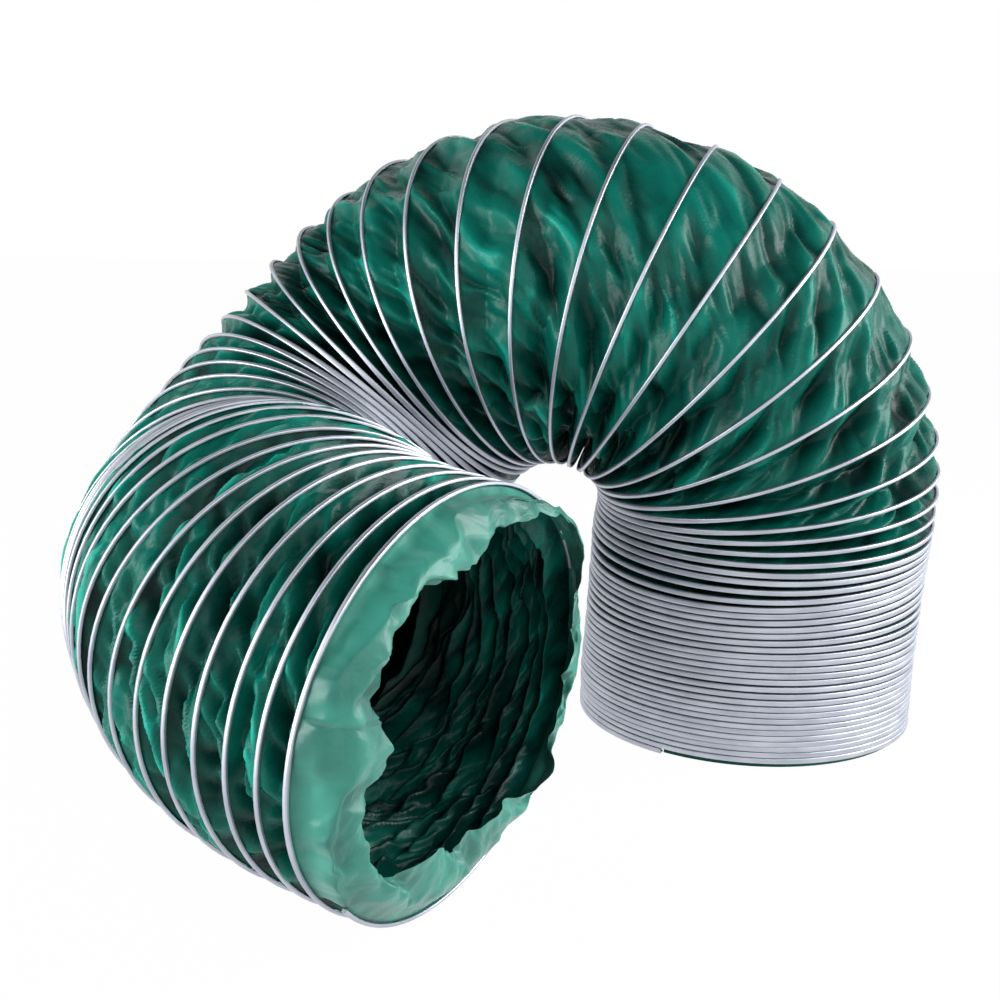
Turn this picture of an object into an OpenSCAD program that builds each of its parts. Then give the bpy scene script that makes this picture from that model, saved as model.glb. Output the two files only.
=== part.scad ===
// Flexible air duct: a sleeve of coated fabric held open by one steel clip strip that is
// wound round it as a left-handed helix. It stands on a closed-up stack of turns, arches
// over to the left and lies down again, with its open mouth towards the front.

/* [Duct size] */
// Bore of the fabric sleeve
bore = 300; // [280:2:320]
// Thickness of the coated fabric
fabric_wall = 0.4; // [0.3:0.1:0.8]
// Width of the clip strip along the duct
clip_width = 4.4; // [3.6:0.1:4.5]
// Height that the clip strip stands up from the sleeve
clip_height = 3.5; // [2.5:0.5:6]
// Distance from turn to turn where the duct is closed up
closed_pitch = 5; // [5:0.1:6]

/* [Mouth] */
// Share by which the mouth sags from a circle to an oval
mouth_sag = 0.08; // [0.02:0.02:0.1]
// How far the raw end of the fabric leans in over the mouth
cuff_lean = 44; // [24:2:56]
// How far the raw end stands out in front of the last turn
cuff_reach = 16; // [8:2:24]
// Height of the waves in the raw edge
cuff_wave = 6; // [2:1:8]

/* [Hidden] */
// One station a line: turn, bend per turn towards +X, bend towards +Y, distance from turn
// to turn on the inner side of the bend beyond the closed pitch, slip of each turn sideways
// towards +X and towards +Y. Degrees and mm.
stations = [
  [0, 0, 0, 0, 0, 0],
  [6, 0, 0, 0, 0, 0],
  [8, 0, 0, 0, 0.3, 0.27],
  [14, -0.07, 0.22, 0, 0.423, 0.453],
  [20, -0.45, -1.35, 1.02, 0.58, -0.28],
  [24, -0.12, 0, 0.75, 0.52, -0.29],
  [27, 0.958, -0.047, 1.39, 0.6, -0.08],
  [30, -1.29, 0.06, 1.377, 1.233, -0.006],
  [32, -2.599, -0.587, 0.59, 1.2, -0.23],
  [33, -3.773, -1.139, 0.23, 1.02, -0.26],
  [34, -7, -1.5, 0, 0, 0],
  [36, -10.5, 1, 0, 0, 0],
  [38, -9.5, 4, 0, 0, 0],
  [40, -10.5, 3.5, 0, 0, 0],
  [42, -9.5, 5, 0, 0, 0],
  [44, -9.5, 1, 3.5, 0, 0],
  [46, -7.75, -7.75, 1, 0, 0],
  [48, -5.5, -7.25, 0, 0, 0],
  [50, -3, -9.75, 0, 0, 0],
  [51, -2.25, -7.25, 0, 0, 0],
  [53, -3.75, -8.5, 0, 0, 0],
  [55, -8.75, -15.75, 0, 0, 0],
  [58, -0.5, -4.5, 0, 0, 0],
  [61, -1.75, 4, 0, 0, 0],
  [64, -3.5, 4.25, 0, 0, 0],
  [66, -5.5, -4.25, 0, 0, 0],
  [68, -3.25, -2.5, 4, 0, 0],
  [70, -2.5, -0.25, 9.5, 0, 0],
  [73, -2.25, -1, 2, 0, 0]
];
bend_x = [for (s = stations) [s[0], s[1]]];
bend_y = [for (s = stations) [s[0], s[2]]];
extra_gap = [for (s = stations) [s[0], s[3]]];
slip_x = [for (s = stations) [s[0], s[4]]];
slip_y = [for (s = stations) [s[0], s[5]]];
// Direction from which the bends are measured, round the foot
first_way = -0.62;

// Turn at which each stretch of the duct starts, and the last one ends
base_start = 0;
stack_start = 6;
shoulder_start = 24;
arch_start = 38;
drop_start = 44;
bend_start = 52;
heel_start = 55.8;
heel_end = 56.8;
neck_start = 62;
run_start = 66;
mouth_start = 70;
last_turn_start = 72.5;
mouth_end = 73.5;

// Angle round the duct at which the strip starts at the base
start_angle = 234;
// Turns over which the sag grows up to the mouth
sag_turns = 14;
// Faces around a turn
sides = 20;
// Play between the sleeve and the clip strip, where it is round and where it bends, and
// between two stretches of the sleeve and of the strip
play = 0.3;
bend_play = 0.8;
stretch_play = 0.4;
strip_play = 0.5;
sleeve_wall = 1;

bore_radius = bore / 2;
clip_inner = (bore_radius + fabric_wall + play) / cos(180 / sides);
clip_outer = clip_inner + clip_height;
sleeve_outer = clip_inner - bend_play;
sleeve_inner = sleeve_outer - sleeve_wall;
turn_radius = clip_inner + 1.5;
first_height = clip_width / 2 + play;

// A frame is centre, axis, and the two directions across it.
function unit(v) = v / norm(v);
function turned(f, angle, d) =
  let (
    w = cross(f[1], d),
    n = unit(cos(angle) * f[1] + sin(angle) * d),
    e = cos(angle) * d - sin(angle) * f[1],
    u = (f[2] * w) * w + (f[2] * f[1]) * n + (f[2] * d) * e,
    across = unit(u - (u * n) * n)
  )
  [n, across, cross(n, across)];
function bend_at(turn) = [lookup(turn, bend_x), lookup(turn, bend_y)];
function gap_at(turn) = closed_pitch + lookup(turn, extra_gap);
function slip_at(f, turn) = lookup(turn, slip_x) * f[2] + lookup(turn, slip_y) * f[3];
function bend_way(f, b) = norm(b) < 0.01 ? f[2] : unit(b[0] * f[2] + b[1] * f[3]);
function along(f, turn, part) =
  let (
    b = bend_at(turn + 0.5),
    angle = norm(b),
    d = bend_way(f, b),
    step = gap_at(turn + 0.5) + turn_radius * angle * PI / 180,
    radius = step / (2 * sin(max(angle, 0.01) / 2)),
    side = angle < 0.01 ? 0 : radius * (1 - cos(angle * part)),
    ahead = angle < 0.01 ? step * part : radius * sin(angle * part)
  )
  concat([f[0] + ahead * f[1] + side * d + part * slip_at(f, turn + 0.5)], turned(f, angle * part, d));
function route(f, turn) = turn > mouth_end ? [f] : concat([f], route(along(f, turn, 1), turn + 1));
first_frame = [
  [0, 0, first_height], [0, 0, 1],
  [cos(first_way), sin(first_way), 0], [-sin(first_way), cos(first_way), 0]
];
frames = route(first_frame, 0);
function frame_at(turn) = along(frames[floor(turn)], floor(turn), turn - floor(turn));

// A point at an angle, radius and offset along the axis of a frame, with the mouth's sag
function sag_at(turn) = mouth_sag * max(0, (turn - 73 + sag_turns) / sag_turns);
function sagged(f, p, sag) =
  let (
    up = unit([0, 0, 1] - f[1][2] * f[1]),
    across = cross(f[1], up)
  )
  (p * across) * (1 + sag) * across + (p * up) * (1 - sag) * up;
function around(f, turn, angle, radius, offset) =
  let (p = radius * (cos(angle) * f[2] + sin(angle) * f[3]), sag = sag_at(turn))
  f[0] + (sag > 0 ? sagged(f, p, sag) : p) + offset * f[1];

// Rings of points joined by triangles, closed on itself or with a cap at each end
function band(a, b, n) = [
  for (i = [0:n - 1]) each [
    [a * n + i, b * n + i, a * n + (i + 1) % n],
    [b * n + i, b * n + (i + 1) % n, a * n + (i + 1) % n]
  ]
];
function bands(rings, last) = [for (k = [0:last]) each band(k, (k + 1) % len(rings), len(rings[0]))];
module closed_rings(rings) {
  polyhedron([for (r = rings) each r], bands(rings, len(rings) - 1));
}
module capped_rings(rings) {
  count = len(rings) - 1;
  caps = [[0, 1, 2], [count * 3 + 2, count * 3 + 1, count * 3]];
  polyhedron([for (r = rings) each r], concat(bands(rings, count - 1), caps));
}

// The clip strip: a three-sided ridge wound round the sleeve, against the clock going up
function ridge(turn) =
  let (f = frame_at(turn), angle = start_angle - 360 * turn)
  [
    around(f, turn, angle, clip_inner, -clip_width / 2),
    around(f, turn, angle, clip_outer, 0),
    around(f, turn, angle, clip_inner, clip_width / 2)
  ];
function winding(start, end) =
  let (first = start + strip_play / (2 * PI * turn_radius), count = round((end - start) * sides))
  [for (k = [0:count]) ridge(k == 0 ? first : start + k / sides)];
module clip(start, end) {
  color([0.72, 0.74, 0.78]) capped_rings(winding(start, end));
}

// The sleeve between two turns: out along its outer face and back along its inner face
function sleeve_ring(turn, radius, offset) =
  let (f = frame_at(turn))
  [for (i = [0:sides - 1]) around(f, turn, 360 * i / sides, radius, offset)];
function sleeve_turns(start, end, every) = [
  for (k = [0:ceil((end - start) / every)]) min(end, start + k * every)
];
module sleeve(start, end, every = 1) {
  turns = sleeve_turns(start, end, every);
  outer = [for (t = turns) sleeve_ring(t, sleeve_outer, t == start ? stretch_play : 0)];
  inner = [for (t = turns) sleeve_ring(t, sleeve_inner, t == start ? stretch_play : 0)];
  back = [for (k = [len(inner) - 1:-1:0]) inner[k]];
  color([0.1, 0.38, 0.33]) closed_rings(concat(outer, back));
}

module clip_base() clip(base_start, stack_start);
module clip_stack() clip(stack_start, shoulder_start);
module clip_shoulder() clip(shoulder_start, arch_start);
module clip_arch() clip(arch_start, drop_start);
module clip_drop() clip(drop_start, bend_start);
module clip_bend() clip(bend_start, heel_start);
// The turn that the bend rests on
module clip_heel() clip(heel_start, heel_end);
module clip_after_heel() clip(heel_end, neck_start);
module clip_neck() clip(neck_start, run_start);
module clip_run() clip(run_start, mouth_start);
module clip_mouth() clip(mouth_start, last_turn_start);
// The last turn, which the mouth rests on
module clip_end() clip(last_turn_start, mouth_end);

// The round bottom end of the sleeve, which stands on the floor and takes a spigot
module fabric_base() {
  color([0.1, 0.38, 0.33]) difference() {
    cylinder(h = frames[stack_start][0][2], r = bore_radius + fabric_wall, $fn = 180);
    translate([0, 0, -1])
      cylinder(h = frames[stack_start][0][2] + 2, r = bore_radius, $fn = 180);
  }
}
module fabric_stack() sleeve(stack_start, shoulder_start, 3);
module fabric_shoulder() sleeve(shoulder_start, arch_start);
module fabric_arch() sleeve(arch_start, drop_start);
module fabric_drop() sleeve(drop_start, bend_start);
module fabric_bend() sleeve(bend_start, neck_start);
module fabric_neck() sleeve(neck_start, run_start);
module fabric_run() sleeve(run_start, mouth_start);
module fabric_mouth() sleeve(mouth_start, mouth_end);

// The raw end of the fabric: it goes on past the last turn and leans in, with a wavy edge
cuff_steps = 3;
cuff_wall = 1;
function cuff_ring(part, inset) =
  let (f = frame_at(mouth_end))
  [
    for (i = [0:2 * sides - 1])
      let (angle = 180 * i / sides, wave = cuff_wave * (sin(5 * angle) + 0.6 * sin(8 * angle + 40)))
        around(
          f,
          mouth_end,
          angle,
          sleeve_outer * cos(180 / sides) - part * (cuff_lean + wave),
          play + cuff_wall + cuff_reach * sin(90 * part) - inset
        )
  ];
module cuff_mouth() {
  front = [for (k = [0:cuff_steps]) cuff_ring(k / cuff_steps, 0)];
  back = [for (k = [cuff_steps:-1:0]) cuff_ring(k / cuff_steps, cuff_wall)];
  color([0.3, 0.62, 0.52]) closed_rings(concat(front, back));
}

// The least gap from turn to turn of the strip, over its edges and its ridge
function turn_gap(turn) =
  let (a = ridge(turn), b = ridge(turn + 1))
  min(norm(b[0] - a[2]), norm(b[1] - a[1]), norm(b[0] - a[1]), norm(b[1] - a[2]));
least_gap = min([for (k = [0:(mouth_end - 1) * sides]) turn_gap(k / sides)]);
lowest = min([for (k = [60 * sides:mouth_end * sides]) min([for (p = ridge(k / sides)) p[2]])]);
echo(least_gap = least_gap, lowest_point_of_mouth = lowest);

fabric_base();
clip_base();
fabric_stack();
clip_stack();
fabric_shoulder();
clip_shoulder();
fabric_arch();
clip_arch();
fabric_drop();
clip_drop();
fabric_bend();
clip_bend();
clip_heel();
clip_after_heel();
fabric_neck();
clip_neck();
fabric_run();
clip_run();
fabric_mouth();
clip_mouth();
clip_end();
cuff_mouth();
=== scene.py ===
import math
import bmesh
import bpy
import numpy as np
from mathutils import Matrix, Vector


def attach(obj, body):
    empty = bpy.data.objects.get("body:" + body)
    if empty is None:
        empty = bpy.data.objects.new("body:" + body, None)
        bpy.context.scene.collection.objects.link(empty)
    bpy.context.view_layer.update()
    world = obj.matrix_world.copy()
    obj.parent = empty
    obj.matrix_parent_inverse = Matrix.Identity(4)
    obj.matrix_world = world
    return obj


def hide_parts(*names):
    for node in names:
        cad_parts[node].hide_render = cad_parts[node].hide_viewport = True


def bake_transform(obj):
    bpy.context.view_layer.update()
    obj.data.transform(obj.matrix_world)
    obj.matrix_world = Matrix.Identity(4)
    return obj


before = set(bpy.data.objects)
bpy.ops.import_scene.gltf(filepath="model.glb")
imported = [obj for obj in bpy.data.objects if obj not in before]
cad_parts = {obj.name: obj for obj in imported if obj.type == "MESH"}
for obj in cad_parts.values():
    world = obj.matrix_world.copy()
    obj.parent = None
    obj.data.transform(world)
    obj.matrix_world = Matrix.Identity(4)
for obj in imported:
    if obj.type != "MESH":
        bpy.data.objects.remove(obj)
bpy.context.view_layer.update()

# the duct in millimetres, as the part's source has it
duct = {
    "bore": 300, "fabricWall": 0.4, "play": 0.3, "sides": 20, "closedPitch": 5,
    "clipWidth": 4.4, "mouthSag": 0.08, "sagTurns": 14, "sagEnd": 73,
    "firstWay": -0.62, "startAngle": 234,
}
# turn, bend per turn towards +X and towards +Y in degrees, extra distance from turn to turn,
# and the slip of each turn sideways towards +X and towards +Y
stations = np.array([
    [0, 0, 0, 0, 0, 0], [6, 0, 0, 0, 0, 0], [8, 0, 0, 0, 0.3, 0.27], [14, -0.07, 0.22, 0, 0.423, 0.453],
    [20, -0.45, -1.35, 1.02, 0.58, -0.28], [24, -0.12, 0, 0.75, 0.52, -0.29],
    [27, 0.958, -0.047, 1.39, 0.6, -0.08], [30, -1.29, 0.06, 1.377, 1.233, -0.006],
    [32, -2.599, -0.587, 0.59, 1.2, -0.23], [33, -3.773, -1.139, 0.23, 1.02, -0.26],
    [34, -7, -1.5, 0, 0, 0], [36, -10.5, 1, 0, 0, 0], [38, -9.5, 4, 0, 0, 0], [40, -10.5, 3.5, 0, 0, 0],
    [42, -9.5, 5, 0, 0, 0], [44, -9.5, 1, 3.5, 0, 0], [46, -7.75, -7.75, 1, 0, 0],
    [48, -5.5, -7.25, 0, 0, 0], [50, -3, -9.75, 0, 0, 0], [51, -2.25, -7.25, 0, 0, 0],
    [53, -3.75, -8.5, 0, 0, 0], [55, -8.75, -15.75, 0, 0, 0], [58, -0.5, -4.5, 0, 0, 0],
    [61, -1.75, 4, 0, 0, 0], [64, -3.5, 4.25, 0, 0, 0], [66, -5.5, -4.25, 0, 0, 0],
    [68, -3.25, -2.5, 4, 0, 0], [70, -2.5, -0.25, 9.5, 0, 0], [73, -2.25, -1, 2, 0, 0],
])
# first turn, last turn, and the body or the two bodies that the stretch bends between,
# with the share of its length that a bend is spread over where it is a hinge
stretches = {
    "base": (0, 6, "base"), "stack": (6, 24, "base", "shoulder"), "shoulder": (24, 38, "shoulder"),
    "arch": (38, 44, "shoulder", "drop", 1.3), "drop": (44, 52, "drop"),
    "bend": (52, 62, "drop", "neck", 1.0), "neck": (62, 66, "neck"),
    "run": (66, 70, "neck", "mouth_end"), "mouth": (70, 73.5, "mouth_end"),
}
clipInner = (duct["bore"] / 2 + duct["fabricWall"] + duct["play"]) / math.cos(math.pi / duct["sides"])
turnRadius = clipInner + 1.5
fabricRadius = clipInner + 0.5


def unit(v):
    return v / np.linalg.norm(v, axis=-1, keepdims=True)


def dot(a, b):
    return np.sum(a * b, axis=-1, keepdims=True)


def walkRoute():  # one row a turn: centre, axis, across, way of the bend, angle and step
    rows = []
    way = math.radians(duct["firstWay"])
    c, n = np.array([0, 0, duct["clipWidth"] / 2 + duct["play"]]), np.array([0, 0, 1.0])
    u = np.array([math.cos(way), math.sin(way), 0])
    for turn in range(75):
        v = np.cross(n, u)
        at = turn + 0.5
        bend = [np.interp(at, stations[:, 0], stations[:, k]) for k in (1, 2)]
        angle = math.radians(math.hypot(*bend))
        way = unit(bend[0] * u + bend[1] * v) if angle > 1e-4 else u
        angle = max(angle, 1e-6)
        step = duct["closedPitch"] + np.interp(at, stations[:, 0], stations[:, 3]) + turnRadius * angle
        slipX, slipY = [np.interp(at, stations[:, 0], stations[:, k]) for k in (4, 5)]
        slip = slipX * u + slipY * v
        rows.append((c, n, u, way, angle, step, slip))
        radius = step / (2 * math.sin(angle / 2))
        side = np.cross(n, way)
        ahead = math.cos(angle) * n + math.sin(angle) * way
        out = math.cos(angle) * way - math.sin(angle) * n
        c = c + radius * math.sin(angle) * n + radius * (1 - math.cos(angle)) * way + slip
        u = (u @ side) * side + (u @ n) * ahead + (u @ way) * out
        n = unit(ahead)
        u = unit(u - (u @ n) * n)
    return [np.array(column) for column in zip(*rows)]


routeC, routeN, routeU, routeWay, routeAngle, routeStep, routeSlip = walkRoute()


def frameAt(turn):
    turn = np.asarray(turn, float)
    i = np.clip(np.floor(turn).astype(int), 0, 74)
    c, n, u, way = routeC[i], routeN[i], routeU[i], routeWay[i]
    full, step = routeAngle[i][..., None], routeStep[i][..., None]
    part = full * (turn - i)[..., None]
    radius = step / (2 * np.sin(full / 2))
    side = np.cross(n, way)
    ahead = np.cos(part) * n + np.sin(part) * way
    out = np.cos(part) * way - np.sin(part) * n
    centre = c + radius * np.sin(part) * n + radius * (1 - np.cos(part)) * way
    centre = centre + (turn - i)[..., None] * routeSlip[i]
    across = unit(dot(u, side) * side + dot(u, n) * ahead + dot(u, way) * out)
    return centre, ahead, across, np.cross(ahead, across)


def around(turn, angle, radius, offset):  # a point round the duct, in millimetres, angle in degrees
    c, n, u, v = frameAt(turn)
    a = np.radians(angle)[..., None]
    p = np.asarray(radius)[..., None] * (np.cos(a) * u + np.sin(a) * v)
    late = (np.asarray(turn) - duct["sagEnd"] + duct["sagTurns"]) / duct["sagTurns"]
    sag = duct["mouthSag"] * np.maximum(0, late)[..., None]
    up = unit(np.array([0, 0, 1.0]) - n[..., 2:3] * n + np.array([1e-9, 0, 0]))
    across = np.cross(n, up)
    sagged = dot(p, across) * (1 + sag) * across + dot(p, up) * (1 - sag) * up
    return c + np.where(sag > 0, sagged, p) + np.asarray(offset)[..., None] * n


def windAngle(s):
    return duct["startAngle"] - 360 * np.asarray(s)


# smooth and cell noise on two coordinates, the same on each run
def dice(x, y, seed):
    x, y = np.asarray(x).astype(np.int64), np.asarray(y).astype(np.int64)
    h = np.bitwise_and(x * 374761393 + y * 668265263 + seed * 974634777, 0xFFFFFFFF).astype(np.uint64)
    for push, times in ((13, 1274126177), (15, 2246822519)):
        h = ((h ^ (h >> np.uint64(push))) * np.uint64(times)) & np.uint64(0xFFFFFFFF)
    return ((h ^ (h >> np.uint64(16))) & np.uint64(0xFFFFFF)).astype(float) / 0xFFFFFF


def waves(x, y, seed):
    x, y = np.broadcast_arrays(np.asarray(x, float), np.asarray(y, float))
    i, j = np.floor(x), np.floor(y)
    a, b = x - i, y - j
    a, b = a * a * a * (a * (a * 6 - 15) + 10), b * b * b * (b * (b * 6 - 15) + 10)
    low = dice(i, j, seed) * (1 - a) + dice(i + 1, j, seed) * a
    high = dice(i, j + 1, seed) * (1 - a) + dice(i + 1, j + 1, seed) * a
    return 2 * (low * (1 - b) + high * b) - 1


def folds(x, y, seed):  # flat three-cornered facets between scattered heights
    x, y = np.broadcast_arrays(np.asarray(x, float), np.asarray(y, float))
    i, j = np.floor(x), np.floor(y)
    a, b = x - i, y - j
    near, far = dice(i, j, seed), dice(i + 1, j + 1, seed)
    right, over = dice(i + 1, j, seed), dice(i, j + 1, seed)
    low = near + a * (right - near) + b * (over - near)
    high = far + (1 - a) * (over - far) + (1 - b) * (right - far)
    return 2 * np.where(a + b < 1, low, high) - 1


def ease(a, b, x):
    t = np.clip((np.asarray(x, float) - a) / (b - a), 0, 1)
    return t * t * (3 - 2 * t)


# how the turns stray from a perfect winding
stray = {"radial": 0.5, "axial": 0.13, "seed": 11}


def strayAt(s):
    s = np.asarray(s, float)
    free = ease(1, 3, s)
    out = stray["radial"] * free * (waves(s * 1.3, 0, stray["seed"]) - 0.4)
    along = stray["axial"] * free * waves(s * 1.1, 5, stray["seed"] + 1)
    return out, along


def windingPoint(s, height=0.0, offset=0.0):
    out, along = strayAt(s)
    return around(s, windAngle(s), clipInner + out + height, along + offset)


# meshes: a plain grid from bmesh, laid where its place says
def gridPiece(name, columns, rows, place, material):
    bm = bmesh.new()
    bmesh.ops.create_grid(bm, x_segments=columns, y_segments=rows, size=0.5)
    mesh = bpy.data.meshes.new(name)
    bm.to_mesh(mesh)
    bm.free()
    count = len(mesh.vertices)
    co = np.empty(count * 3)
    mesh.vertices.foreach_get("co", co)
    co = co.reshape(-1, 3)
    points, uv, extra = place(co[:, 0] + 0.5, co[:, 1] + 0.5)
    mesh.vertices.foreach_set("co", (points / 1000).ravel())
    corner = np.empty(len(mesh.loops), int)
    mesh.loops.foreach_get("vertex_index", corner)
    layer = mesh.uv_layers.new(name="lengthways")
    layer.data.foreach_set("uv", (np.stack(uv, -1)[corner] / 1000).ravel())
    for key, values in extra.items():
        attribute = mesh.attributes.new(key, "FLOAT", "POINT")
        attribute.data.foreach_set("value", values.astype(np.float32))
    mesh.update()
    piece = bpy.data.objects.new(name, mesh)
    bpy.context.scene.collection.objects.link(piece)
    mesh.materials.append(material)
    return piece


def tidyMesh(piece, outward, closeEnds=False, merge=1e-6):
    bm = bmesh.new()
    bm.from_mesh(piece.data)
    if closeEnds:
        bmesh.ops.remove_doubles(bm, verts=bm.verts, dist=merge)
        open_ = [e for e in bm.edges if e.is_boundary]
        bmesh.ops.holes_fill(bm, edges=open_, sides=0)
        bmesh.ops.recalc_face_normals(bm, faces=bm.faces)
        for e in open_:
            e.smooth = False
    else:
        sample = list(bm.faces)[:: max(1, len(bm.faces) // 50)]
        turned = sum(1 for f in sample if f.normal.dot(outward(f.calc_center_median())) < 0)
        if turned > len(sample) / 2:
            bmesh.ops.reverse_faces(bm, faces=bm.faces)
    for f in bm.faces:
        f.smooth = len(f.verts) < 5
    bm.to_mesh(piece.data)
    bm.free()


def awayFromAxis(point):
    p = np.array(point) * 1000
    i = np.argmin(np.sum((routeC - p) ** 2, axis=1))
    return Vector(p - routeC[i])


# materials
def newMaterial(name):
    material = bpy.data.materials.new(name)
    material.use_nodes = True
    tree = material.node_tree
    return material, tree, tree.nodes["Principled BSDF"]


def addNode(tree, kind, inputs=None, **settings):
    node = tree.nodes.new(kind)
    for key, value in settings.items():
        setattr(node, key, value)
    for key, value in (inputs or {}).items():
        node.inputs[key].default_value = value
    return node


def weaveGroup():  # fine cloth weave: height and a faint speckle
    group = bpy.data.node_groups.new("clothWeave", "ShaderNodeTree")
    for name, kind, inOut in (
        ("Along", "NodeSocketVector", "INPUT"), ("Threads", "NodeSocketFloat", "INPUT"),
        ("Height", "NodeSocketFloat", "OUTPUT"), ("Speckle", "NodeSocketFloat", "OUTPUT"),
    ):
        group.interface.new_socket(name=name, in_out=inOut, socket_type=kind)
    start, end = group.nodes.new("NodeGroupInput"), group.nodes.new("NodeGroupOutput")
    link = group.links.new
    warp = addNode(group, "ShaderNodeTexWave", {"Distortion": 1.0, "Detail": 1.0}, bands_direction="X")
    weft = addNode(group, "ShaderNodeTexWave", {"Distortion": 1.0, "Detail": 1.0}, bands_direction="Y")
    speck = addNode(group, "ShaderNodeTexNoise", {"Scale": 400.0, "Detail": 3.0})
    add = addNode(group, "ShaderNodeMath", operation="ADD")
    for wave in (warp, weft):
        link(start.outputs["Along"], wave.inputs["Vector"])
        link(start.outputs["Threads"], wave.inputs["Scale"])
    link(start.outputs["Along"], speck.inputs["Vector"])
    link(warp.outputs["Fac"], add.inputs[0])
    link(weft.outputs["Fac"], add.inputs[1])
    link(add.outputs[0], end.inputs["Height"])
    link(speck.outputs["Fac"], end.inputs["Speckle"])
    return group


weave = weaveGroup()
# colours of the coated fabric: a near-black painted shade for the fold valleys, the coating's own teal face,
# and a bright teal painted highlight for the fold crests
fabricLook = {
    "paintedShade": (0.001, 0.020, 0.017, 1), "face": (0.003, 0.175, 0.130, 1), "paintedHighlight": (0.014, 0.44, 0.33, 1),
    "roughness": 0.27, "coat": 0.04, "specular": 0.13, "threads": 330.0,
}


def coatedFabric():
    material, tree, shader = newMaterial("coatedFabric")
    link = tree.links.new
    uv = addNode(tree, "ShaderNodeUVMap", uv_map="lengthways")
    # the base colour has light and shade painted in: the crease value, mixed with random blotches of tone,
    # runs from painted shade in the folds to the teal face
    creaseShade = addNode(tree, "ShaderNodeAttribute", attribute_name="creaseShade")
    blotch = addNode(tree, "ShaderNodeTexNoise", {"Scale": 14.0, "Detail": 4.0, "Roughness": 0.55})
    link(uv.outputs["UV"], blotch.inputs["Vector"])
    ramp = addNode(tree, "ShaderNodeValToRGB")
    ramp.color_ramp.elements[0].position = 0.25
    ramp.color_ramp.elements[0].color = fabricLook["paintedShade"]
    ramp.color_ramp.elements[1].position = 0.70
    ramp.color_ramp.elements[1].color = fabricLook["face"]
    both = addNode(tree, "ShaderNodeMath", {1: 0.5}, operation="MULTIPLY_ADD")
    link(creaseShade.outputs["Fac"], both.inputs[0])
    half = addNode(tree, "ShaderNodeMath", {1: 0.5}, operation="MULTIPLY")
    link(blotch.outputs["Fac"], half.inputs[0])
    link(half.outputs[0], both.inputs[2])
    link(both.outputs[0], ramp.inputs["Fac"])
    # the highest crease values, on the crests, get the painted highlight colour
    paintedHighlightMask = addNode(tree, "ShaderNodeMapRange", {"From Min": 0.78, "From Max": 1.0, "To Max": 0.7})
    link(creaseShade.outputs["Fac"], paintedHighlightMask.inputs["Value"])
    paintedHighlight = addNode(tree, "ShaderNodeMix", {7: fabricLook["paintedHighlight"]}, data_type="RGBA")
    link(paintedHighlightMask.outputs[0], paintedHighlight.inputs["Factor"])
    link(ramp.outputs["Color"], paintedHighlight.inputs[6])
    link(paintedHighlight.outputs[2], shader.inputs["Base Color"])
    # small wrinkles, and the weave under the coating
    wrinkle = addNode(tree, "ShaderNodeTexNoise", {"Scale": 120.0, "Detail": 4.0, "Distortion": 1.2})
    link(uv.outputs["UV"], wrinkle.inputs["Vector"])
    cloth = addNode(tree, "ShaderNodeGroup", node_tree=weave)
    cloth.inputs["Threads"].default_value = fabricLook["threads"]
    link(uv.outputs["UV"], cloth.inputs["Along"])
    small = addNode(tree, "ShaderNodeBump", {"Strength": 0.4, "Distance": 0.0012})
    link(wrinkle.outputs["Fac"], small.inputs["Height"])
    fine = addNode(tree, "ShaderNodeBump", {"Strength": 0.12, "Distance": 0.0002})
    link(cloth.outputs["Height"], fine.inputs["Height"])
    link(small.outputs["Normal"], fine.inputs["Normal"])
    link(fine.outputs["Normal"], shader.inputs["Normal"])
    low, high = fabricLook["roughness"] - 0.08, fabricLook["roughness"] + 0.12
    rough = addNode(tree, "ShaderNodeMapRange", {"To Min": low, "To Max": high})
    link(cloth.outputs["Speckle"], rough.inputs["Value"])
    link(rough.outputs[0], shader.inputs["Roughness"])
    shader.inputs["Coat Weight"].default_value = fabricLook["coat"]
    shader.inputs["Coat Roughness"].default_value = 0.18
    shader.inputs["Specular IOR Level"].default_value = fabricLook["specular"]
    return material


# colours of the raw cuff: a darker painted shade for some facets, and the cloth's own pale teal face
cuffLook = {
    "paintedShade": (0.010, 0.13, 0.10, 1), "face": (0.034, 0.285, 0.215, 1), "roughness": 0.40, "threads": 300.0,
}


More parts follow.
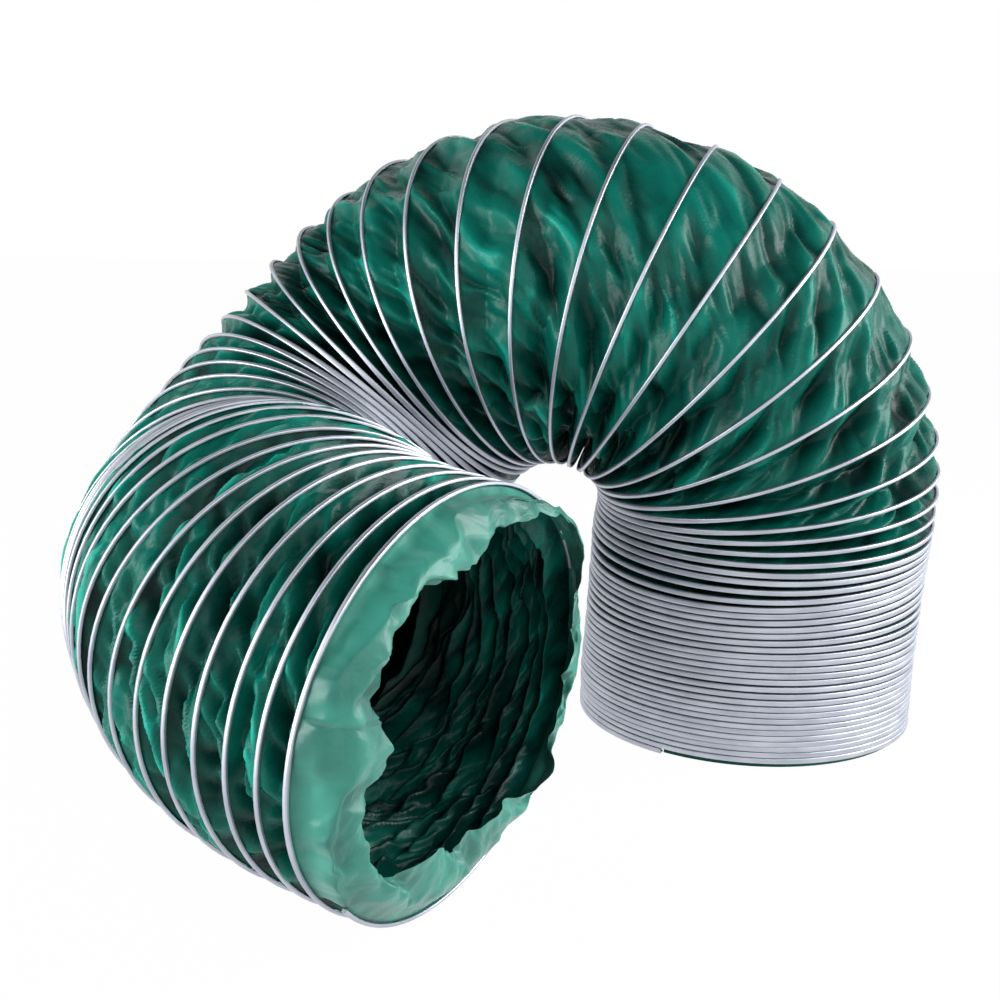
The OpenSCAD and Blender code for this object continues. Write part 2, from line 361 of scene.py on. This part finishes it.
def rawFabric():
    material, tree, shader = newMaterial("rawFabric")
    link = tree.links.new
    uv = addNode(tree, "ShaderNodeUVMap", uv_map="lengthways")
    blotch = addNode(tree, "ShaderNodeTexNoise", {"Scale": 14.0, "Detail": 6.0, "Roughness": 0.62})
    link(uv.outputs["UV"], blotch.inputs["Vector"])
    # the base colour has shade painted in: the crease value, taken from the facet heights and mixed with
    # random blotches, darkens and lightens the facets
    ramp = addNode(tree, "ShaderNodeValToRGB")
    ramp.color_ramp.elements[0].position = 0.50
    ramp.color_ramp.elements[0].color = cuffLook["paintedShade"]
    ramp.color_ramp.elements[1].position = 0.92
    ramp.color_ramp.elements[1].color = cuffLook["face"]
    creaseShade = addNode(tree, "ShaderNodeAttribute", attribute_name="creaseShade")
    shade = addNode(tree, "ShaderNodeMath", {1: 0.5}, operation="MULTIPLY_ADD")
    link(creaseShade.outputs["Fac"], shade.inputs[0])
    link(blotch.outputs["Fac"], shade.inputs[2])
    link(shade.outputs[0], ramp.inputs["Fac"])
    link(ramp.outputs["Color"], shader.inputs["Base Color"])
    crumple = addNode(tree, "ShaderNodeTexNoise", {"Scale": 45.0, "Detail": 3.0, "Distortion": 1.5})
    link(uv.outputs["UV"], crumple.inputs["Vector"])
    cloth = addNode(tree, "ShaderNodeGroup", node_tree=weave)
    cloth.inputs["Threads"].default_value = cuffLook["threads"]
    link(uv.outputs["UV"], cloth.inputs["Along"])
    soft = addNode(tree, "ShaderNodeBump", {"Strength": 0.35, "Distance": 0.003})
    link(crumple.outputs["Fac"], soft.inputs["Height"])
    fine = addNode(tree, "ShaderNodeBump", {"Strength": 0.15, "Distance": 0.0002})
    link(cloth.outputs["Height"], fine.inputs["Height"])
    link(soft.outputs["Normal"], fine.inputs["Normal"])
    link(fine.outputs["Normal"], shader.inputs["Normal"])
    shader.inputs["Roughness"].default_value = cuffLook["roughness"]
    shader.inputs["Sheen Weight"].default_value = 0.12
    return material


steelLook = {"face": (0.58, 0.61, 0.68, 1), "dull": (0.36, 0.39, 0.46, 1), "roughness": 0.44}


def clipSteel():
    material, tree, shader = newMaterial("clipSteel")
    link = tree.links.new
    uv = addNode(tree, "ShaderNodeUVMap", uv_map="lengthways")
    long = addNode(tree, "ShaderNodeMapping", {"Scale": (1.0, 60.0, 1.0)})
    link(uv.outputs["UV"], long.inputs["Vector"])
    drawn = addNode(tree, "ShaderNodeTexNoise", {"Scale": 12.0, "Detail": 5.0})
    link(long.outputs["Vector"], drawn.inputs["Vector"])
    cloud = addNode(tree, "ShaderNodeTexNoise", {"Scale": 30.0, "Detail": 3.0})
    link(uv.outputs["UV"], cloud.inputs["Vector"])
    add = addNode(tree, "ShaderNodeMath", {1: 0.5}, operation="MULTIPLY_ADD")
    link(drawn.outputs["Fac"], add.inputs[0])
    half = addNode(tree, "ShaderNodeMath", {1: 0.5}, operation="MULTIPLY")
    link(cloud.outputs["Fac"], half.inputs[0])
    link(half.outputs[0], add.inputs[2])
    ramp = addNode(tree, "ShaderNodeValToRGB")
    ramp.color_ramp.elements[0].position = 0.3
    ramp.color_ramp.elements[0].color = steelLook["dull"]
    ramp.color_ramp.elements[1].position = 0.6
    ramp.color_ramp.elements[1].color = steelLook["face"]
    link(add.outputs[0], ramp.inputs["Fac"])
    link(ramp.outputs["Color"], shader.inputs["Base Color"])
    low, high = steelLook["roughness"] - 0.06, steelLook["roughness"] + 0.14
    rough = addNode(tree, "ShaderNodeMapRange", {"To Min": low, "To Max": high})
    link(drawn.outputs["Fac"], rough.inputs["Value"])
    link(rough.outputs[0], shader.inputs["Roughness"])
    bump = addNode(tree, "ShaderNodeBump", {"Strength": 0.15, "Distance": 0.0002})
    link(drawn.outputs["Fac"], bump.inputs["Height"])
    link(bump.outputs["Normal"], shader.inputs["Normal"])
    shader.inputs["Metallic"].default_value = 1.0
    return material


fabricMaterial, cuffMaterial, steelMaterial = coatedFabric(), rawFabric(), clipSteel()
print("materials made")

# how a stretch is tied to its body: one on a single body is attached to it, and one between two bodies only
# gets its blend line worked out before its transform is baked
def blendLine(first, last, spread=None):
    start, end = frameAt(first)[0], frameAt(last)[0]
    length = np.linalg.norm(end - start)
    line = (end - start) / length
    if spread:
        return start + 0.5 * (1 - spread) * length * line, start + 0.5 * (1 + spread) * length * line
    # a slide keeps clear of the tilt of the rings at both ends where there is room
    ring = np.arange(0, 360, 10.0)
    low = max(0, np.max((around(first + 0.15, ring, fabricRadius, 0.0) - start) @ line))
    high = min(length, np.min((around(last + 0.15, ring, fabricRadius, 0.0) - start) @ line))
    least = 0.6 * length
    if high - low < least:
        middle = np.clip(0.5 * (low + high), 0.5 * least, length - 0.5 * least)
        low, high = middle - 0.5 * least, middle + 0.5 * least
    return start + low * line, start + high * line


blendLines = {name: blendLine(s[0], s[1], *s[4:]) for name, s in stretches.items() if len(s) > 3}
print("blend lines", {name: [round(float(np.linalg.norm(b - a)))] for name, (a, b) in blendLines.items()})


def follow(piece, stretch, half=None):
    spec = stretches[stretch]
    if len(spec) == 3:
        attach(piece, spec[2])
        return
    start, end = blendLines[stretch]
    if half is not None:  # the same share along half a turn, and none across the strip
        line = (end - start) / np.sum((end - start) ** 2)
        a, b = windingPoint(half), windingPoint(half + 0.5)
        axis = frameAt(half + 0.25)[1]
        flat = line - (line @ axis) * axis
        chord = b - a
        flat = flat + (line @ chord - flat @ chord) * chord / (chord @ chord)
        reach = flat / (flat @ flat)
        start = a - (line @ (a - start)) * reach
        end = start + reach
    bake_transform(piece)


# the clip strip: a folded strip with two rounded shoulders and a groove
clip = {
    "columns": 96,
    # widest half width of a bead where the turns are closed, and its half width where they are open
    "closedBead": 2.36, "bead": 1.6, "groove": 0.12, "unequal": 0.22,
    # the bead's section: share of its half width, height closed and height open
    "section": [
        (-1.03, 0.5, 0.5), (-1.02, 1.3, 0.75), (-0.98, 2.1, 1.5), (-0.82, 2.40, 2.15),
        (-0.42, 2.46, 2.42), (0.0, 2.46, 2.3), (0.42, 2.46, 2.42),
        (0.82, 2.40, 2.15), (0.98, 2.1, 1.5), (1.02, 1.3, 0.75), (1.03, 0.5, 0.5),
    ],
}


def gapAt(s, angle):
    here = around(s, angle, clipInner, 0.0)
    return np.linalg.norm(around(s + 1, angle, clipInner, 0.0) - here, axis=-1)


def clipPiece(name, start, end):
    bead = np.array([(0, 0, 0)] * 2 + clip["section"] + [(0, 0, 0)] * 3)
    flat = np.array([(-1, 0), (-1, 0.42)] + [(0, 0)] * 11 + [(1, 0.42), (1, 0), (-1, 0)])
    rows = len(bead) - 1
    length = np.concatenate([[0], np.cumsum(np.hypot(*np.diff((bead[:, :2] + flat) * 1.8, axis=0).T))])

    def place(a, b):
        s = start + a * (end - start)
        k = np.rint(b * rows).astype(int)
        angle = windAngle(s)
        room = np.minimum(gapAt(s, angle), gapAt(np.maximum(s - 1, 0), angle))
        open_ = ease(6, 14, room)
        spare = clip["groove"] + clip["unequal"] * np.maximum(0, waves(s * 0.9, 3.0, 17)) ** 2
        half = np.clip(0.5 * room - spare, 1.5, clip["closedBead"])
        half = half + (np.minimum(clip["bead"], half) - half) * open_
        foot = half * 1.04
        along = bead[k, 0] * half + flat[k, 0] * foot
        height = bead[k, 1] * (1 - open_) + bead[k, 2] * open_ + flat[k, 1]
        return windingPoint(s, height, along), (s * 2 * math.pi * turnRadius, length[k]), {}

    columns = max(8, round((end - start) * clip["columns"]))
    piece = gridPiece(name, columns, rows, place, steelMaterial)
    tidyMesh(piece, awayFromAxis, closeEnds=True)
    return piece


for name, spec in stretches.items():
    first, last = spec[:2]
    if len(spec) == 3:
        parts = ((first, 72.5), (72.5, last)) if name == "mouth" else ((first, last),)
        for number, (start, end) in enumerate(parts):
            piece = clipPiece("clip." + ("end" if number else name), start, end)
            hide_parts("clip_" + ("end" if number else name))
            follow(piece, name)
    else:
        for number in range(round((last - first) * 2)):
            half = first + number / 2
            piece = clipPiece("clip.%s.%02d" % (name, number + 1), half, half + 0.5)
            for at, node in ((first, "clip_" + name), (56, "clip_heel"), (57, "clip_after_heel")):
                if half == at:
                    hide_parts(node)
            follow(piece, name, half)
print("clip strip wound")

# the fabric: slack between one turn of the strip and the next, folded inwards
fabric = {
    "stripWidth": 62.0, "cutWidth": 54.0, "columns": 480, "rows": 20, "closedColumns": 96, "closedRows": 6,
    "turnsInPiece": 7, "slackShare": 0.6, "bendSlack": -0.26, "lean": 44.0, "seed": 40,
    # spacing along the strip and lift of each kind of crease, in millimetres
    "bigFold": (24, 9.0), "midFold": (10.5, 5.6), "smallFold": 5.3, "ridge": (17, 2.2), "crumple": (14, 3.4),
}


def fabricShape(s, w):
    out0, along0 = strayAt(s)
    out1, along1 = strayAt(s + 1)
    out, along = out0 * (1 - w) + out1 * w, along0 * (1 - w) + along1 * w
    angle = windAngle(s)
    low, high = around(s, angle, fabricRadius, 0.0), around(s + 1, angle, fabricRadius, 0.0)
    gap = np.linalg.norm(high - low, axis=-1)
    width = fabric["stripWidth"]
    open_ = np.clip(gap / width, 0, 1)
    x = s * 2 * math.pi * turnRadius
    y = w * width
    seed = fabric["seed"]
    row = np.floor(s)
    past = ease(48, 55, s)
    # the fold inwards, deepest near the middle, and beside the lower turn past the arch; it has less
    # slack past the arch until near the mouth, and starts where the closed turns at the foot end
    share = fabric["slackShare"] + fabric["bendSlack"] * past * (1 - 0.75 * ease(67, 70.5, s))
    depth = 0.5 * np.sqrt(np.maximum(width**2 - gap**2, 0))
    depth = depth * (share + (1 - share) * (1 - ease(0.03, 0.30, open_)))
    depth = depth * (1 + 0.25 * waves(x / 46, row * 3.1, seed) + 0.12 * waves(x / 17, row * 1.7, seed + 1))
    depth = depth * ease(5.2, 6.4, s)
    peak = 0.5 - 0.2 * past + 0.16 * waves(x / 63, row * 2.3, seed + 2)
    peak = peak + 0.08 * waves(x / 21, row * 1.9, seed + 3)
    fold = np.where(w < peak, w / peak, (1 - w) / (1 - peak))
    fold = 0.7 * fold + 0.3 * np.sin(np.pi * w)
    # creases from turn to turn, all leaning one way, with flat facets between them
    lean = fabric["lean"] * (1 + 0.35 * waves(x / 130, row * 0.9, seed + 4))
    q = x + lean * (w - 0.5) + 5 * waves(x / 34, w * 1.5 + row * 2.1, seed + 5)
    (bigSpan, bigLift), (midSpan, midLift) = fabric["bigFold"], fabric["midFold"]
    (ridgeSpan, ridgeLift), (crumpleSpan, crumpleLift) = fabric["ridge"], fabric["crumple"]
    big = folds(q / bigSpan, w * 1.1 + row * 7.31 + 0.3 * waves(x / 50, row, seed + 6), seed + 7)
    mid = folds((q + 3 * waves(x / 13, w * 2 + row, seed + 8)) / midSpan, w * 1.7 + row * 3.77, seed + 9)
    small = folds(q / fabric["smallFold"], w * 6 + row * 5.1, seed + 10)
    crumple = folds(x / crumpleSpan - w * 1.3, w * 3.4 + row * 2.9, seed + 13) * past
    line = np.abs(waves(q / ridgeSpan, w * 0.9 + row * 4.7, seed + 11))
    ridge = ease(1, 0, line / 0.26) * ease(-0.2, 0.35, waves(q / 60, w * 1.2 + row * 1.3, seed + 12))
    hold = np.clip(4 * w * (1 - w), 0, 1) ** 0.7
    amount = ease(0.05, 0.32, open_) * (1 - 0.3 * ease(0.7, 1.0, open_))
    lift = amount * (bigLift * big + midLift * mid + ridgeLift * ridge + crumpleLift * crumple) * hold
    edge = np.minimum(w, 1 - w) * np.maximum(gap, 1)
    pucker = np.exp(-(((edge - 4) / 4) ** 2)) * ease(0.6, 2.5, edge)
    lift = lift + amount * small * (0.8 * hold + 0.6 * pucker) - fold * depth
    most = 1.6 * hold + 0.15
    lift = np.where(lift > most, most + 0.3 * (lift - most), lift)
    radius = fabricRadius + out + lift - 0.8 * np.exp(-((edge / 2.2) ** 2))
    points = around(s + w, angle, radius, along)
    # the crease value paints light and shade into the colour: higher on raised facets and crests for the
    # painted highlight, lower in the valleys and deep inward folds for painted shade
    creaseShade = 0.47 + 0.40 * big + 0.24 * mid + 0.16 * crumple + 0.26 * ridge * hold
    creaseShade = creaseShade - 0.22 * fold * ease(2, 22, depth)
    return points, (x, y + row * 80), {"creaseShade": np.clip(creaseShade, 0, 1)}


# the hem of the fabric under the first turn
def hemPlace(a, b):
    s = a * 0.999
    top = around(s, windAngle(s), duct["bore"] / 2 + 0.4, 0.0)
    low = top.copy()
    low[:, 2] = 0.3
    shape = low * (1 - b[:, None]) + top * b[:, None]
    return shape, (a * 943, b * 5), {"creaseShade": np.full(a.shape, 0.5)}


hem = gridPiece("fabric.hem", 120, 2, hemPlace, fabricMaterial)
tidyMesh(hem, awayFromAxis)
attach(hem, "base")

cuts = {
    "base": (0, 5.15), "stack": (5.15, 24.15), "shoulder": (24.15, 37.15), "arch": (37.15, 44.15),
    "drop": (44.15, 51.15), "bend": (51.15, 62.15), "neck": (62.15, 65.15), "run": (65.15, 70.15),
    "mouth": (70.15, 72.5),
}
for name, (start, end) in cuts.items():
    closed = name in ("base", "stack")
    columns = fabric["closedColumns" if closed else "columns"]
    rows = fabric["closedRows" if closed else "rows"]
    parts = 1 if closed else math.ceil((end - start) / fabric["turnsInPiece"] - 1e-6)
    for part in range(parts):
        first = start + (end - start) * part / parts
        last = start + (end - start) * (part + 1) / parts

        def place(a, b):
            return fabricShape(first + a * (last - first), b)

        pieceName = "fabric." + name + (".%d" % (part + 1) if parts > 1 else "")
        across = round((last - first) * columns)
        piece = gridPiece(pieceName, across, rows, place, fabricMaterial)
        tidyMesh(piece, awayFromAxis)
        if part == 0:
            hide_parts("fabric_" + name)
        follow(piece, name)
print("fabric laid")

# the raw end of the fabric, which leans in over the mouth
cuff = {
    "columns": 480, "rows": 26, "reach": 9.0, "seed": 90,
    # width round the mouth of its broad, middle and small facets, and the fabric's own depth, in mm
    "facets": (31, 13, 7.5), "cutWidth": 45.0,
    # angle round the mouth in degrees, and how far the raw edge stands in there
    "edge": [
        (0, 44), (10, 50), (20, 42), (28, 26), (37, 22), (45, 17), (56, 24), (66, 36), (76, 52), (90, 46),
        (104, 55), (118, 46), (129, 52), (138, 30), (147, 12), (156, 8), (164, 31), (171, 22), (178, 15),
        (188, 36), (198, 18), (208, 36), (216, 18), (226, 5), (240, 3), (254, 4), (268, 12), (280, 22),
        (291, 26), (297, 36), (307, 31), (322, 22), (331, 12), (339, 31), (346, 14), (352, 31), (360, 44),
    ],
}


def cuffPlace(a, b):
    turned = a * 360.0  # back from the strip's cut end
    angle = np.mod(54 + turned, 360)
    s = 73.5 - turned / 360
    edge = np.array(cuff["edge"], float)
    lean, soft = 0, 0
    for shift in range(-16, 17):
        near = np.interp(np.mod(angle + shift * 0.75, 360), edge[:, 0], edge[:, 1])
        lean = lean + near * math.exp(-((shift / 4.5) ** 2)) / 7.976
        soft = soft + near / 33
    x = np.radians(angle) * fabricRadius
    # the raw end closes on itself a turn further on than it starts
    share = turned / 360
    climb = ease(0, 0.22, b)
    b = np.clip((b - 0.22 * share) / (1 - 0.22 * share), 0, 1)
    stand = soft * b + (lean - soft) * b**3
    seed = cuff["seed"]
    cx, cy = 4 * np.cos(np.radians(angle)), 4 * np.sin(np.radians(angle))
    broad = waves(cx * 1.1, cy * 1.1, seed)
    pleats = waves(cx * 2.2, cy * 2.2, seed + 1)
    # down the cuff, from the strip below it
    down = b - 0.25 * share * (1 - climb)
    broadFacet, facet, smallFacet = cuff["facets"]
    flat = folds(x / broadFacet + down * 1.4, down * 1.5, seed + 3)
    flatter = folds(x / facet - down * 1.7, down * 2.6, seed + 4)
    small = folds(x / smallFacet + down * 2.3, down * 4.3, seed + 5)
    out, along = strayAt(s + share * climb)
    reach = cuff["reach"] + 6 * np.exp(-(((np.mod(angle - 245 + 180, 360) - 180) / 26) ** 2))
    offset = -1.5 + 2.3 * ease(0, 0.06, b) + reach * np.sin(np.pi / 2 * np.minimum(1, b * 1.25))
    offset = offset + b * (2.6 * broad + 3.4 * pleats)
    flare = 3.0 * np.exp(-(((np.mod(angle - 243 + 180, 360) - 180) / 24) ** 2))
    flare = flare * np.sin(np.pi * np.minimum(1, b * 1.4))
    hold = ease(0.01, 0.1, down + 0.25 * share)
    offset = offset + hold * ((3.2 + 5.8 * flat + 3.4 * flatter) * ease(0, 0.3, b) + 1.3 * small)
    radius = fabricRadius + out - stand + flare
    radius = radius - hold * (3.6 * (flat + 0.5) + 2.6 * (flatter + 0.5) + 1.1 * small)
    radius = radius - 0.9 * np.exp(-((offset / 2.4) ** 2))
    points = around(s + share * climb, angle, radius, along + offset)
    points[:, 2] = np.maximum(points[:, 2], 1.2)
    # the crease value follows the facet heights, for painted shade and light on the facets in the colour
    creaseShade = np.clip(0.48 + 0.3 * flat + 0.3 * flatter + 0.15 * small, 0, 1)
    return points, (x, b * 60), {"creaseShade": creaseShade}


raw = gridPiece("cuff", cuff["columns"], cuff["rows"], cuffPlace, cuffMaterial)
tidyMesh(raw, awayFromAxis)
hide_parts("cuff_mouth")
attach(raw, "mouth_end")
print("cuff made")

# floor, background and lights
def whiteWhereSeen(tree, lit, kind, share):
    link = tree.links.new
    path = addNode(tree, "ShaderNodeLightPath")
    most = addNode(tree, "ShaderNodeMath", operation="MAXIMUM")
    also = addNode(tree, "ShaderNodeMath", operation="MAXIMUM")
    link(path.outputs["Is Camera Ray"], most.inputs[0])
    link(path.outputs["Is Glossy Ray"], most.inputs[1])
    link(most.outputs[0], also.inputs[0])
    link(path.outputs["Is Transmission Ray"], also.inputs[1])
    scale = addNode(tree, "ShaderNodeMath", {1: share}, operation="MULTIPLY")
    link(also.outputs[0], scale.inputs[0])
    white = addNode(tree, kind, {"Color": (1, 1, 1, 1)})
    mix = addNode(tree, "ShaderNodeMixShader")
    link(scale.outputs[0], mix.inputs[0])
    link(lit, mix.inputs[1])
    link(white.outputs[0], mix.inputs[2])
    return mix, white


floorMaterial, tree, shader = newMaterial("paleFloor")
shader.inputs["Base Color"].default_value = (0.86, 0.86, 0.86, 1)
shader.inputs["Roughness"].default_value = 0.8
shader.inputs["Specular IOR Level"].default_value = 0.1
mix, white = whiteWhereSeen(tree, shader.outputs[0], "ShaderNodeEmission", 0.985)
tree.links.new(mix.outputs[0], tree.nodes["Material Output"].inputs["Surface"])
bm = bmesh.new()
bmesh.ops.create_grid(bm, x_segments=1, y_segments=1, size=30)
floorMesh = bpy.data.meshes.new("floor")
bm.to_mesh(floorMesh)
bm.free()
floorMesh.materials.append(floorMaterial)
floor = bpy.data.objects.new("floor", floorMesh)
bpy.context.scene.collection.objects.link(floor)

world = bpy.context.scene.world or bpy.data.worlds.new("studio")
bpy.context.scene.world = world
world.use_nodes = True
tree = world.node_tree
ambient = tree.nodes["Background"]
ambient.inputs["Color"].default_value = (0.92, 0.95, 1.0, 1)
ambient.inputs["Strength"].default_value = 0.22
mix, white = whiteWhereSeen(tree, ambient.outputs[0], "ShaderNodeBackground", 1.0)
# white where seen, and in reflections greyer overhead and in front, as in a studio
place = addNode(tree, "ShaderNodeTexCoord")
split = addNode(tree, "ShaderNodeSeparateXYZ")
tree.links.new(place.outputs["Generated"], split.inputs[0])
overhead = {"From Min": 0.64, "From Max": 0.85, "To Min": 1.0, "To Max": 0.1}
inFront = {"From Min": 0.05, "From Max": 0.45, "To Min": 0.75, "To Max": 1.0}
height = addNode(tree, "ShaderNodeMapRange", overhead)
behind = addNode(tree, "ShaderNodeMapRange", inFront)
tree.links.new(split.outputs["Z"], height.inputs["Value"])
tree.links.new(split.outputs["Y"], behind.inputs["Value"])
darker = addNode(tree, "ShaderNodeMath", operation="MULTIPLY")
tree.links.new(height.outputs[0], darker.inputs[0])
tree.links.new(behind.outputs[0], darker.inputs[1])
seen = addNode(tree, "ShaderNodeLightPath")
strength = addNode(tree, "ShaderNodeMath", operation="MAXIMUM")
tree.links.new(darker.outputs[0], strength.inputs[0])
tree.links.new(seen.outputs["Is Camera Ray"], strength.inputs[1])
tree.links.new(strength.outputs[0], white.inputs["Strength"])
tree.links.new(mix.outputs[0], tree.nodes["World Output"].inputs["Surface"])


def softLight(name, place, aim, size, power, colour=(1, 1, 1)):
    lamp = bpy.data.lights.new(name, "AREA")
    lamp.shape = "RECTANGLE"
    lamp.size, lamp.size_y = size
    lamp.energy = power
    lamp.color = colour
    light = bpy.data.objects.new(name, lamp)
    light.location = place
    light.rotation_euler = (Vector(aim) - Vector(place)).to_track_quat("-Z", "Y").to_euler()
    bpy.context.scene.collection.objects.link(light)


softLight("keyRight", (1.6, -0.25, 0.9), (-0.1, 0.05, 0.25), (1.2, 1.2), 44)
softLight("fillLeft", (-1.9, -1.1, 0.55), (-0.35, -0.25, 0.15), (1.3, 1.3), 40)
softLight("front", (0.5, -1.9, 1.1), (-0.2, -0.1, 0.2), (1.2, 0.8), 6)

# camera
view = {"focalPixels": 1292.45, "pitch": 11.1599, "roll": 0.9059, "place": (-0.235788, -1.190227, 0.434137)}
lens = bpy.data.cameras.new("view")
lens.sensor_width = 36
lens.lens = view["focalPixels"] * 36 / 1000
lens.clip_end = 100
camera = bpy.data.objects.new("view", lens)
p, r = math.radians(view["pitch"]), math.radians(view["roll"])
ahead = Vector((0, math.cos(p), -math.sin(p)))
right = Vector((1, 0, 0))
up = right.cross(ahead)
right, up = math.cos(r) * right + math.sin(r) * up, -math.sin(r) * right + math.cos(r) * up
camera.matrix_world = Matrix.Translation(view["place"]) @ Matrix((right, up, -ahead)).transposed().to_4x4()
bpy.context.scene.collection.objects.link(camera)
bpy.context.scene.camera = camera
bpy.context.scene.view_settings.view_transform = "Standard"
